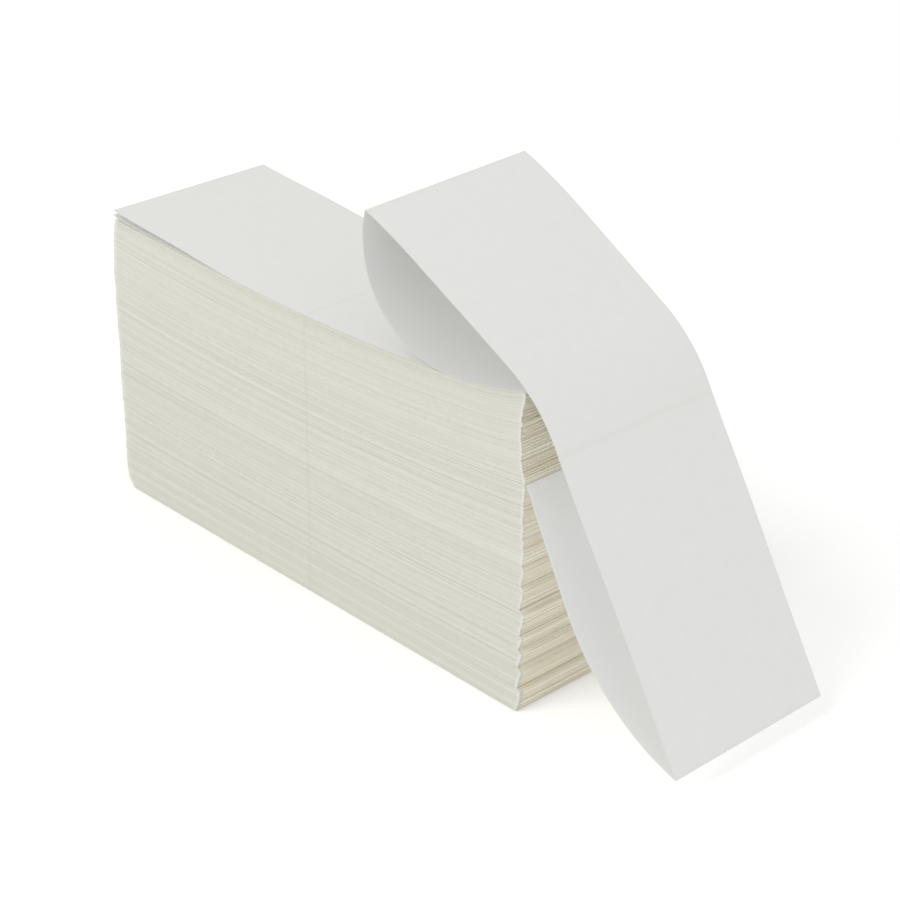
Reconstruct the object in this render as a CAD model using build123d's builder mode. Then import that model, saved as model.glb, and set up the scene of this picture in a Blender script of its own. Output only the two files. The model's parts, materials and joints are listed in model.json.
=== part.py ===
"""Fan-folded stack of blank thermal labels with a pulled-out loop of the web.

The web is one long release liner, perforated across at every label and folded at every second
perforation, so one folded leaf is two labels long.  Most leaves lie pressed together and are
modelled as packs.  The leaves and panels that can be told apart have a liner and labels of
their own.

Frame: the origin is the centre of the stack's bottom face.  +X runs along the leaves towards
the pulled-out loop, +Y across the web and +Z up.  All sizes are in millimetres.
"""
from build123d import *
import os
from math import acos, atan2, cos, hypot, pi, radians, sin, sqrt

os.makedirs("parts", exist_ok=True)

# ---------------------------------------------------------------- the web
label_length = 152.4
label_width = 101.6
label_corner = 3.2
label_gap = 3.175            # liner left bare between two labels, with the perforation in it
side_margin = 0.8            # liner left bare beside a label
liner_thickness = 0.056
label_thickness = 0.100      # face paper with its adhesive

pitch = label_length + label_gap
half_length = pitch          # a leaf is two pitches long
web_width = label_width + 2 * side_margin
leaf_thickness = liner_thickness + label_thickness

# ---------------------------------------------------------------- how the stack lies
left_swell = 1.050           # height over the flat thickness, at the left folds
knee_swell = 1.028           # ... where the right folds start to lift the leaves
right_swell = 1.081          # ... at the right folds
knee_inset = 40.5            # from the right end to that knee
body_gap = 0.3               # air between leaves that lift apart
top_lift = 2.2               # how far the top leaf's left end springs up
top_lift_start = 105.0       # length of the top leaf that springs up

# A pack is (leaves, right end out at its top and bottom, left end out at its top and bottom).
lower_packs = [
    (32, 0.4, -0.6, 2.4, -0.6),
    (42, 1.0, 0.2, 2.8, 2.4),
    (68, 1.2, -2.4, 2.9, 2.7),
    (56, 1.4, -2.8, 2.4, 2.8),
    (50, 1.0, -3.0, 2.6, 2.2),
    (81, 1.6, -2.2, 2.8, 2.4),
    (78, 1.2, -3.0, 3.2, 2.9),
    (62, 0.8, -2.0, 3.0, 3.3),
    (64, 0.6, -1.6, 2.6, 2.9),
    (21, 0.4, -0.8, 2.8, 2.5),
    (52, -0.2, -1.4, 3.2, 2.9),
    (60, -0.6, -1.4, 3.4, 3.0),
    (62, 0.2, -1.2, 3.2, 3.5),
]
upper_packs = [
    (34, -1.6, -0.4, 3.3, 3.0),
    (31, -2.6, -1.8, 3.6, 3.3),
    (37, -2.4, -3.0, 3.4, 3.7),
    (27, -3.2, -2.6, 3.8, 3.5),
    (41, -3.0, -3.6, 3.6, 3.9),
    (33, -3.2, -2.6, 3.0, 3.5),
    (31, -1.8, -2.8, 2.4, 2.9),
    (35, -0.4, -1.6, 1.2, 2.2),
]

# ---------------------------------------------------------------- how the loop hangs
rest_length = 52.5           # of panel 4 that lies on the top leaf
curl_turn = 109.4            # degrees that the rest of panel 4 curls through
drape_length = 52.0          # of panel 3 that bends over the stack's edge
drape_turn = 36.0            # degrees of that bend
hang_length = 60.0           # of panel 1 that hangs straight
hang_turn = 48.0             # degrees that the rest of panel 1 turns through
exit_reach = 0.5             # fold 0 stands out of the stack by this much
edge_clearance = 0.4         # air under panel 3 where it passes the stack's edge
crease_gap = 0.1             # liner left out at each side of a fold between two panels
open_fold_gap = 0.8          # the same at fold 0, where the loop isn't joined to the exit leaf

knee_x = half_length - knee_inset


def circle_through(first, second, third):
    """Return (centre x, centre z, radius) of the circle through three points."""
    ax, az = second[0] - first[0], second[1] - first[1]
    bx, bz = third[0] - first[0], third[1] - first[1]
    double_area = 2 * (ax * bz - az * bx)
    a_square = ax * ax + az * az
    b_square = bx * bx + bz * bz
    off_x = (bz * a_square - az * b_square) / double_area
    off_z = (ax * b_square - bx * a_square) / double_area
    return first[0] + off_x, first[1] + off_z, hypot(off_x, off_z)


def lying_circles(level):
    """Return the long arc and the end arc that a leaf follows when it lies at this level.

    The level is the flat thickness of all the paper below it.  The long arc sags between the
    left folds and the knee, and the end arc leaves it there without a kink.
    """
    knee = (knee_x, level * knee_swell)
    end = (half_length, level * right_swell)
    long_arc = circle_through((-half_length, level * left_swell), (0.0, level), knee)
    slope = (knee_x - long_arc[0]) / (long_arc[1] - knee[1])
    bend = end[1] - knee[1] - slope * knee_inset
    half_way = (knee_x + knee_inset / 2, knee[1] + slope * knee_inset / 2 + bend / 4)
    return long_arc, circle_through(knee, half_way, end)


def lying_height(level, x):
    """Return the height of a leaf that lies at this level, at x."""
    long_arc, end_arc = lying_circles(level)
    centre_x, centre_z, radius = long_arc if x <= knee_x else end_arc
    return centre_z - sqrt(radius**2 - (x - centre_x) ** 2)


def lying_point(level, x):
    """Return the point (x, z) of a leaf that lies at this level."""
    return x, lying_height(level, x)


def lying_arc(level, start_x, end_x):
    """Draw one arc along a lying leaf, inside the current line builder."""
    middle_x = (start_x + end_x) / 2
    ThreePointArc(lying_point(level, start_x), lying_point(level, middle_x), lying_point(level, end_x))


def lying_line(level, left_x, right_x):
    """Draw a lying leaf's whole curve from left to right, inside the current line builder."""
    if level == 0:
        Line((left_x, 0), (right_x, 0))
    elif right_x <= knee_x:
        lying_arc(level, left_x, right_x)
    else:
        lying_arc(level, left_x, knee_x)
        lying_arc(level, knee_x, right_x)


def height_or_floor(level, x):
    """Return the lying height, with the floor for level 0."""
    return 0.0 if level == 0 else lying_height(level, x)


def pressed_layer(bottom, top, bottom_ends, top_ends, width):
    """Return the solid between two levels, with its own left and right ends at each level."""
    with BuildPart() as layer:
        with BuildSketch(Plane.XZ):
            with BuildLine():
                lying_line(bottom, *bottom_ends)
                Line(
                    (bottom_ends[1], height_or_floor(bottom, bottom_ends[1])),
                    lying_point(top, top_ends[1]),
                )
                lying_line(top, *top_ends)
                Line(
                    lying_point(top, top_ends[0]),
                    (bottom_ends[0], height_or_floor(bottom, bottom_ends[0])),
                )
            make_face()
        extrude(amount=width / 2, both=True)
    return layer.part


def lying_label(layer, centre_x):
    """Return a lying label: a rounded outline kept where it meets a larger layer."""
    height = 2 * layer.bounding_box().max.Z
    with BuildPart() as label:
        with BuildSketch(Plane.XY):
            with Locations((centre_x, 0)):
                RectangleRounded(label_length, label_width, label_corner)
        extrude(amount=height)
        add(layer, mode=Mode.INTERSECT)
    return label.part


def save(part, name):
    """Label one finished piece and write its file."""
    part.label = name
    export_step(part, f"parts/{name}.step")


def save_packs(packs, start_level, prefix):
    """Write one solid for each pack of pressed leaves and return the level above the last."""
    level = start_level
    for number, (leaves, right_top, right_bottom, left_top, left_bottom) in enumerate(packs, 1):
        above = level + leaves * leaf_thickness
        bottom_ends = (-half_length - left_bottom, half_length + right_bottom)
        top_ends = (-half_length - left_top, half_length + right_top)
        save(pressed_layer(level, above, bottom_ends, top_ends, web_width), f"{prefix}_{number:02d}")
        level = above
    return level


def save_lying_leaf(level, name):
    """Write a leaf that lies with its labels up and return the level above it."""
    ends = (-half_length, half_length)
    liner_top = level + liner_thickness
    label_top = liner_top + label_thickness
    save(pressed_layer(level, liner_top, ends, ends, web_width), f"{name}_liner")
    for side, centre_x in (("left", -pitch / 2), ("right", pitch / 2)):
        layer_ends = (centre_x - pitch / 2, centre_x + pitch / 2)
        layer = pressed_layer(liner_top, label_top, layer_ends, layer_ends, web_width)
        save(lying_label(layer, centre_x), f"{name}_label_{side}")
    return label_top


def walk(start, heading, pieces):
    """Return a path as a list of (length so far, x, z, heading, length, turn), one per piece.

    Each piece is (length, turn): a straight run when the turn is 0, else an arc that turns
    left by that many radians.
    """
    path = []
    done = 0.0
    x, z = start
    for length, turn in pieces:
        path.append((done, x, z, heading, length, turn))
        chord = length if turn == 0 else 2 * length / turn * sin(turn / 2)
        x += chord * cos(heading + turn / 2)
        z += chord * sin(heading + turn / 2)
        heading += turn
        done += length
    path.append((done, x, z, heading, 0.0, 0.0))
    return path


def path_point(path, distance, offset=0.0):
    """Return the point at a distance along a path, moved to its left by an offset."""
    pieces = [piece for piece in path[:-1] if piece[0] <= distance] or [path[0]]
    done, x, z, heading, length, turn = pieces[-1]
    run = distance - done
    part_turn = turn * run / length
    chord = run if part_turn == 0 else 2 * run / part_turn * sin(part_turn / 2)
    x += chord * cos(heading + part_turn / 2)
    z += chord * sin(heading + part_turn / 2)
    heading += part_turn
    return x - offset * sin(heading), z + offset * cos(heading)


def path_end(path):
    """Return the point where a path ends."""
    return path[-1][1], path[-1][2]


def draw_path(path, start, end, offset):
    """Draw a path's stretch between two distances, inside the current line builder."""
    for done, _, _, _, length, turn in path[:-1]:
        low = max(start, done)
        high = min(end, done + length)
        if high - low < 1e-6:
            continue
        first = path_point(path, low, offset)
        middle = path_point(path, (low + high) / 2, offset)
        last = path_point(path, high, offset)
        if turn == 0:
            Line(first, last)
        else:
            ThreePointArc(first, middle, last)


def bent_sheet(path, start, end, near, far, width, rounded=False):
    """Return a sheet that follows a path between two offsets from it."""
    with BuildPart() as sheet:
        with BuildSketch(Plane.XZ):
            with BuildLine():
                draw_path(path, start, end, near)
                Line(path_point(path, end, near), path_point(path, end, far))
                draw_path(path, start, end, far)
                Line(path_point(path, start, far), path_point(path, start, near))
            make_face()
        extrude(amount=width / 2, both=True)
        if rounded:
            corners = [edge for edge in sheet.edges() if edge.length < 2 * abs(far - near)]
            fillet(corners, radius=label_corner)
    return sheet.part


def save_panel(path, label_side, number, start_gap=crease_gap, end_gap=crease_gap):
    """Write one panel of the loop: its liner on one side of the path, its label on the other."""
    liner = bent_sheet(path, start_gap, pitch - end_gap, 0.0, -label_side * liner_thickness, web_width)
    save(liner, f"panel_{number}_liner")
    margin = label_gap / 2
    label = bent_sheet(
        path, margin, pitch - margin, 0.0, label_side * label_thickness, label_width, rounded=True
    )
    save(label, f"panel_{number}_label")


def lifted_layer(bottom, top, left_x, right_x, width):
    """Return a layer of the top leaf, whose left end springs up in a straight run."""
    leave_x = top_lift_start - half_length

    def left_point(level, x):
        share = (leave_x - x) / top_lift_start
        return x, lying_height(level, x) + top_lift * share

    with BuildPart() as layer:
        with BuildSketch(Plane.XZ):
            with BuildLine():
                if left_x < leave_x:
                    Line(left_point(bottom, left_x), lying_point(bottom, leave_x))
                start_x = max(left_x, leave_x)
                lying_line(bottom, start_x, right_x)
                Line(lying_point(bottom, right_x), lying_point(top, right_x))
                lying_line(top, start_x, right_x)
                if left_x < leave_x:
                    Line(lying_point(top, leave_x), left_point(top, left_x))
                    Line(left_point(top, left_x), left_point(bottom, left_x))
                else:
                    Line(lying_point(top, left_x), lying_point(bottom, left_x))
            make_face()
        extrude(amount=width / 2, both=True)
    return layer.part


# ---------------------------------------------------------------- levels, from the floor up
leaf_count = sum(pack[0] for pack in lower_packs) + sum(pack[0] for pack in upper_packs) + 3

exit_level = save_packs(lower_packs, 0.0, "lower_pack")
exit_top = save_lying_leaf(exit_level, "exit_leaf")
upper_level = exit_top + body_gap
second_level = save_packs(upper_packs, upper_level, "upper_pack")
second_top = save_lying_leaf(second_level, "second_leaf")

# ---------------------------------------------------------------- the top leaf, labels down
top_level = second_top + body_gap
top_liner_level = top_level + label_thickness
top_surface = top_liner_level + liner_thickness
save(
    lifted_layer(top_liner_level, top_surface, -half_length, half_length, web_width),
    "top_leaf_liner",
)
for side, centre_x in (("left", -pitch / 2), ("right", pitch / 2)):
    layer = lifted_layer(top_level, top_liner_level, centre_x - pitch / 2, centre_x + pitch / 2, web_width)
    save(lying_label(layer, centre_x), f"top_leaf_label_{side}")

# ---------------------------------------------------------------- panel 4: fold 4 to fold 3
panel_level = top_surface + body_gap + liner_thickness
long_arc, end_arc = lying_circles(panel_level)
fold_4 = lying_point(panel_level, half_length)
knee_angle = atan2(long_arc[1] - lying_height(panel_level, knee_x), long_arc[0] - knee_x)
end_start = atan2(fold_4[1] - end_arc[1], fold_4[0] - end_arc[0])
end_stop = atan2(lying_height(panel_level, knee_x) - end_arc[1], knee_x - end_arc[0])
end_turn = end_stop - end_start
end_run = end_arc[2] * abs(end_turn)
long_run = rest_length - end_run
curl_run = pitch - rest_length
panel_4 = walk(
    fold_4,
    end_start - pi / 2,
    [
        (end_run, end_turn),
        (long_run, -long_run / long_arc[2]),
        (curl_run, -radians(curl_turn)),
    ],
)
fold_3 = path_end(panel_4)
save_panel(panel_4, -1, 4)

# ---------------------------------------------------------------- panel 3: fold 3 to fold 2
# It turns about fold 3 until it clears the stack's edge at fold 4.
drape_start = pitch - drape_length
drape_radius = drape_length / radians(drape_turn)
edge_reach = hypot(fold_4[0] - fold_3[0], fold_4[1] - fold_3[1])
edge_angle = atan2(fold_4[1] - fold_3[1], fold_4[0] - fold_3[0])
centre_reach = hypot(drape_start, drape_radius)
centre_angle = atan2(-drape_radius, drape_start)
spread = acos(
    (centre_reach**2 + edge_reach**2 - drape_radius**2) / (2 * centre_reach * edge_reach)
)
edge_air = edge_clearance + 2 * label_thickness
panel_3 = walk(
    fold_3,
    edge_angle - centre_angle - spread + edge_air / edge_reach,
    [(drape_start, 0.0), (drape_length, -radians(drape_turn))],
)
fold_2 = path_end(panel_3)
save_panel(panel_3, -1, 3)

# ---------------------------------------------------------------- panels 2 and 1
# Fold 1 hangs where panel 2, from fold 2, meets panel 1, from fold 0.
fold_0 = (half_length + exit_reach, lying_height(exit_level, half_length))
hang_pieces = [(hang_length, 0.0), (pitch - hang_length, radians(hang_turn))]
hang_chord = path_end(walk((0.0, 0.0), 0.0, hang_pieces))
chord_length = hypot(*hang_chord)
chord_lean = atan2(hang_chord[1], hang_chord[0])
span = hypot(fold_2[0] - fold_0[0], fold_2[1] - fold_0[1])
span_angle = atan2(fold_2[1] - fold_0[1], fold_2[0] - fold_0[0])
opening = acos((chord_length**2 + span**2 - pitch**2) / (2 * chord_length * span))
panel_1 = walk(fold_0, span_angle - opening - chord_lean, hang_pieces)
fold_1 = path_end(panel_1)
panel_2 = walk(fold_2, atan2(fold_1[1] - fold_2[1], fold_1[0] - fold_2[0]), [(pitch, 0.0)])
save_panel(panel_2, -1, 2)
save_panel(panel_1, 1, 1, start_gap=open_fold_gap)

# ---------------------------------------------------------------- what the joints need
upper_hinge_x = -half_length - upper_packs[0][4]
hinges = {
    "upper bundle hinge": (upper_hinge_x, lying_height(upper_level - body_gap / 2, -half_length)),
    "top leaf hinge": (-half_length, lying_height(second_top, -half_length) + (body_gap + top_lift) / 2),
    "fold 4 hinge": (half_length, fold_4[1] - liner_thickness - body_gap / 2),
    "fold 3": fold_3,
    "fold 2": fold_2,
    "fold 1": fold_1,
    "fold 0": fold_0,
}
print(f"leaves {leaf_count}, labels {2 * leaf_count}")
print(f"stack height left {lying_height(top_surface, -half_length):.2f}")
print(f"stack height right {lying_height(top_surface, half_length):.2f}")
for name, (x, z) in hinges.items():
    print(f"{name} {x:.3f} {z:.3f}")
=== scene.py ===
"""Looks of a fan-folded stack of blank thermal labels with a pulled-out loop of the web.

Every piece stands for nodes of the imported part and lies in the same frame, in metres: +X runs
along the leaves towards the loop, +Y across the web and +Z up.  The packs are built leaf by
leaf, and the leaves and panels that can be told apart get a liner and labels of their own.
"""
import json
import logging
import math
from collections.abc import Callable
from dataclasses import dataclass
from enum import Enum

import bpy
import numpy as np
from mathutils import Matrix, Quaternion, Vector


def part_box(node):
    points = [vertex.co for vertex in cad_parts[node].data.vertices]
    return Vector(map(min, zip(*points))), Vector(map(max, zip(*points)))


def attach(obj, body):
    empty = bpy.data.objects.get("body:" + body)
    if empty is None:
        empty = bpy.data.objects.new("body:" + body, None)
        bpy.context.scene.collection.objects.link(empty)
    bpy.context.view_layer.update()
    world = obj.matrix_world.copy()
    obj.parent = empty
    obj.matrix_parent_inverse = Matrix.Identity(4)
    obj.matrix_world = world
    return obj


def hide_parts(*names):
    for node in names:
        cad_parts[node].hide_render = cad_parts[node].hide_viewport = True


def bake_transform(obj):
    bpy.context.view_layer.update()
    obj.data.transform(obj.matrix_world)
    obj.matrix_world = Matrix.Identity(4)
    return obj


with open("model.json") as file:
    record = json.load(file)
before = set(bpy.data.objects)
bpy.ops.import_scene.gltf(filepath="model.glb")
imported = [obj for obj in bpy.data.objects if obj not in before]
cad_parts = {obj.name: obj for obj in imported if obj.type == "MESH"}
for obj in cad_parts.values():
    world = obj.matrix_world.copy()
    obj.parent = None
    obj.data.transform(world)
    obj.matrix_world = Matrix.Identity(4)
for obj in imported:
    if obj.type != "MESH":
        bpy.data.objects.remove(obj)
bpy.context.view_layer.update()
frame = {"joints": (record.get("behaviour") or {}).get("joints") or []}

Colour = tuple[float, float, float]
Place = tuple[float, float, float]
Point = tuple[float, float]  # x and z of a place in the loop's plane
Run = tuple[float, float]  # a length of a path and its turn to the left, in radians
Surface = Callable[[np.ndarray, np.ndarray, float], np.ndarray]

LOG = logging.getLogger("label_stack")
MILLIMETRE = 0.001
SKIN = 12e-6  # air left between two pieces that touch, in metres
ROOM = 40e-6  # and over a bundle, whose leaves have fewer sections than a single one
SUNK = 4e-6  # how far a label reaches into its liner, so that no gap shows between them
LEAF_SECTIONS = 141  # sections along a single leaf's liner
PANEL_SECTIONS = 105  # sections along a panel's liner
PANEL_COLUMNS = 41  # points across a panel
LABEL_SECTIONS = 71  # sections along the straight part of a label
CORNER_STEPS = 9  # sections round a label's corner
CREST_SHIFT = (-0.0005, -0.0009)  # how the loop's crest moves in x and z at its middle
CREST_TILT = (0.0008, 0.0021)  # and how much further at the far side, or back at the near side


# ---------------------------------------------------------------- named options
class Body(Enum):
    """The bodies that pieces ride on."""

    LOWER = "lower_stack"
    UPPER = "upper_stack"
    TOP = "top_leaf"
    PANEL_4 = "panel_4"
    PANEL_3 = "panel_3"
    PANEL_2 = "panel_2"
    PANEL_1 = "panel_1"


class Slot(Enum):
    """The record's material slots."""

    LEAVES = "pressed_leaves"
    LINER = "release_liner"
    LABEL = "label_paper"


class Facing(Enum):
    """Which side of its path a panel's label lies on: to the left of travel or to the right."""

    LEFT = 1.0
    RIGHT = -1.0


# ---------------------------------------------------------------- shader maths
class Wire:
    """One output socket of a material, with arithmetic that adds Math nodes."""

    def __init__(self, paint: "Paint", socket: bpy.types.NodeSocket) -> None:
        """Keep the material's builder and the socket."""
        self.paint = paint
        self.socket = socket

    def _maths(self, operation: str, *others: "Wire | float") -> "Wire":
        """Return this socket combined with others by one Math node."""
        inputs = dict(enumerate((self, *others)))
        return self.paint.add("ShaderNodeMath", {"operation": operation}, inputs)

    def __add__(self, other: "Wire | float") -> "Wire":
        """Return the sum."""
        return self._maths("ADD", other)

    __radd__ = __add__

    def __mul__(self, other: "Wire | float") -> "Wire":
        """Return the product."""
        return self._maths("MULTIPLY", other)

    __rmul__ = __mul__

    def __sub__(self, other: "Wire | float") -> "Wire":
        """Return the difference."""
        return self._maths("SUBTRACT", other)

    def __rsub__(self, other: float) -> "Wire":
        """Return a number less this socket."""
        return self.paint.add("ShaderNodeMath", {"operation": "SUBTRACT"}, {0: other, 1: self})

    def __truediv__(self, other: "Wire | float") -> "Wire":
        """Return the quotient."""
        return self._maths("DIVIDE", other)

    def __pow__(self, other: float) -> "Wire":
        """Return this socket raised to a power."""
        return self._maths("POWER", other)

    def __abs__(self) -> "Wire":
        """Return the size without its sign."""
        return self._maths("ABSOLUTE")

    def fraction(self) -> "Wire":
        """Return what is left over the whole number below."""
        return self._maths("FRACT")

    def larger(self, other: "Wire | float") -> "Wire":
        """Return the larger of the two."""
        return self._maths("MAXIMUM", other)

    def smaller(self, other: "Wire | float") -> "Wire":
        """Return the smaller of the two."""
        return self._maths("MINIMUM", other)

    def root(self) -> "Wire":
        """Return the square root."""
        return self._maths("SQRT")

    def ramp(self, low: float, high: float, start: float = 0.0, end: float = 1.0) -> "Wire":
        """Return a smooth step from start to end while this socket goes from low to high.

        Args:
            low: where the step starts.
            high: where the step ends; it may be below low.
            start: the value before the step.
            end: the value after it.

        Returns:
            The stepped value.
        """
        if high < low:
            low, high, start, end = high, low, end, start
        values = {0: self, 1: low, 2: high, 3: start, 4: end}
        settings = {"interpolation_type": "SMOOTHSTEP", "clamp": True}
        return self.paint.add("ShaderNodeMapRange", settings, values)


class Paint:
    """Builds one node material around a Principled shader."""

    def __init__(self, name: str) -> None:
        """Start an empty material.

        Args:
            name: the material's name.
        """
        self.material = bpy.data.materials.new(name)
        self.material.use_nodes = True
        self.tree = self.material.node_tree
        self.tree.nodes.clear()
        self.shader = self.tree.nodes.new("ShaderNodeBsdfPrincipled")
        output = self.tree.nodes.new("ShaderNodeOutputMaterial")
        self.tree.links.new(self.shader.outputs[0], output.inputs["Surface"])

    def fill(self, node: bpy.types.Node, inputs: dict) -> None:
        """Set a node's sockets to values, or link them to wires.

        Args:
            node: the node.
            inputs: socket name or number -> value or wire.
        """
        for key, value in inputs.items():
            if isinstance(value, Wire):
                self.tree.links.new(value.socket, node.inputs[key])
            elif isinstance(value, tuple) and len(value) == 3 and node.inputs[key].type == "RGBA":
                node.inputs[key].default_value = (*value, 1.0)
            else:
                node.inputs[key].default_value = value

    def add(self, kind: str, settings: dict, inputs: dict, output: int | str = 0) -> Wire:
        """Add one node.

        Args:
            kind: the node's type.
            settings: its properties, set before its sockets.
            inputs: socket name or number -> value or wire.
            output: the output socket that is wanted.

        Returns:
            That output socket as a wire.
        """
        node = self.tree.nodes.new(kind)
        for key, value in settings.items():
            setattr(node, key, value)
        self.fill(node, inputs)
        return Wire(self, node.outputs[output])

    def place(self) -> Wire:
        """Return the Object coordinates."""
        return self.add("ShaderNodeTexCoord", {}, {}, "Object")

    def attribute(self, name: str) -> Wire:
        """Return a number that the mesh carries at its points."""
        return self.add("ShaderNodeAttribute", {"attribute_name": name}, {}, "Fac")

    def split(self, vector: Wire) -> tuple[Wire, Wire, Wire]:
        """Split a vector.

        Args:
            vector: the vector.

        Returns:
            Its three numbers.
        """
        first = self.add("ShaderNodeSeparateXYZ", {}, {0: vector}, 0)
        node = first.socket.node
        return first, Wire(self, node.outputs[1]), Wire(self, node.outputs[2])

    def join(self, x: Wire | float, y: Wire | float, z: Wire | float) -> Wire:
        """Return a vector of three numbers."""
        return self.add("ShaderNodeCombineXYZ", {}, {0: x, 1: y, 2: z})

    def noise(self, where: Wire, scale: float, detail: float = 2.0, rough: float = 0.5) -> Wire:
        """Return noise between 0 and 1.

        Args:
            where: the coordinates.
            scale: features per metre.
            detail: octaves above the first.
            rough: share of each octave in the next.

        Returns:
            The noise.
        """
        inputs = {"Vector": where, "Scale": scale, "Detail": detail, "Roughness": rough}
        return self.add("ShaderNodeTexNoise", {}, inputs, "Fac")

    def mix(self, share: Wire, first: Wire | Colour, second: Wire | Colour) -> Wire:
        """Return a colour between two, the second one at a share of 1."""
        settings = {"data_type": "RGBA", "clamp_factor": True}
        return self.add("ShaderNodeMix", settings, {0: share, 6: first, 7: second}, 2)

    def shade(self, colour: Wire | Colour, factor: Wire) -> Wire:
        """Return a colour made lighter or darker by a factor around 1."""
        inputs = {0: colour, "Scale": factor}
        return self.add("ShaderNodeVectorMath", {"operation": "SCALE"}, inputs)

    def bump(self, height: Wire, depth: float) -> Wire:
        """Return the normal of a surface raised by a height of 0 to 1 times a depth in metres."""
        inputs = {"Height": height, "Distance": depth, "Strength": 1.0}
        return self.add("ShaderNodeBump", {}, inputs)

    def finish(self, inputs: dict) -> bpy.types.Material:
        """Fill the Principled shader's sockets and return the material."""
        self.fill(self.shader, inputs)
        return self.material


# ---------------------------------------------------------------- sizes of the web
@dataclass(frozen=True)
class Web:
    """Sizes of the liner and of the labels on it, in metres."""

    width: float
    label_length: float = 0.1524
    label_width: float = 0.1016
    label_corner: float = 0.0032
    label_gap: float = 0.003175
    liner: float = 56e-6
    label: float = 100e-6
    air: float = 300e-6

    @property
    def pitch(self) -> float:
        """Length of the web from one perforation to the next."""
        return self.label_length + self.label_gap

    @property
    def leaf(self) -> float:
        """Thickness of the liner with a label on it."""
        return self.liner + self.label


# ---------------------------------------------------------------- finishes
@dataclass(frozen=True)
class PressedLeavesFinish:
    """Cut edges of many pressed leaves: cream along the sides, tan at the folds.

    The folds' tan is the folded edges' own, and their lightness over the sides is partly
    painted light, for the light that the thin loop lets onto the end face.  The corner is
    where a fold's colour gives way to that of its tip, across the web; the tip colour is a
    faint painted highlight along that corner.
    """

    cut: Colour = (0.700, 0.697, 0.640)
    cut_dark: Colour = (0.600, 0.594, 0.525)
    # the folded ends' own cream and tan, made lighter than the cut sides partly as painted light
    fold: Colour = (0.888, 0.876, 0.776)
    fold_dark: Colour = (0.745, 0.690, 0.530)
    # painted shade in the notches between packs, brown on the end face
    painted_notch_shade: Colour = (0.540, 0.420, 0.270)
    # a faint painted highlight along the corner of the fold ends
    tip: Colour = (0.705, 0.701, 0.646)
    corner: tuple[float, float] = (0.0507, 0.0512)
    perforation: tuple[float, float] = (0.0017, 0.0004)
    relief: float = 0.00004

    def material(self) -> bpy.types.Material:
        """Build the material.

        The colour follows the leaves: streaks run along each leaf's flat level, each leaf has
        its own tint, the points at the folds carry a share of a colour that is partly painted
        light, and those by the notches carry a share of painted shade.
        The perforation is a faint line at the leaves' middle.

        Returns:
            The material.
        """
        paint = Paint("pressed_leaf_edges")
        where = paint.place()
        x, y, _ = paint.split(where)
        level = paint.attribute("level")
        tint = paint.attribute("tint")
        fold = paint.attribute("fold")
        notch_shade = paint.attribute("notch_shade")
        streak_place = paint.join(x * 1.6, level * 2500.0, y * 1.2)
        streak = paint.noise(streak_place, 1.0, 2.0, 0.7)
        broad = paint.noise(paint.join(x * 4.0, level * 260.0, y * 2.0), 1.0, 1.0)
        fibre = paint.noise(where, 5200.0, 2.0)
        share = (streak * 1.8 + broad * 0.25 + tint * 0.25 - 0.52).larger(0.0).smaller(1.0)
        cut = paint.mix(share, self.cut_dark, self.cut)
        folded = paint.mix(share, self.fold_dark, self.fold)
        corner = abs(y).ramp(*self.corner)
        # at the ends the fold colour, partly painted light, and at the corner the tip colour, a
        # faint painted highlight
        colour = paint.mix(fold.ramp(0.15, 0.85), cut, paint.mix(corner, folded, self.tip))
        perforation = abs(x).ramp(*self.perforation) * (0.22 + 0.3 * streak)
        colour = paint.mix(perforation * (1.0 - fold), colour, self.cut_dark)
        # painted shade by the notches, stronger on the folded ends
        colour = paint.mix(notch_shade * (0.35 + 0.65 * fold), colour, self.painted_notch_shade)
        colour = paint.shade(colour, 0.965 + 0.07 * fibre)
        height = streak * 0.85 + fibre * 0.15
        return paint.finish(
            {
                "Base Color": colour,
                "Roughness": 0.62 + 0.16 * fibre,
                "Normal": paint.bump(height, self.relief),
                "Specular IOR Level": 0.32,
            }
        )


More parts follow.
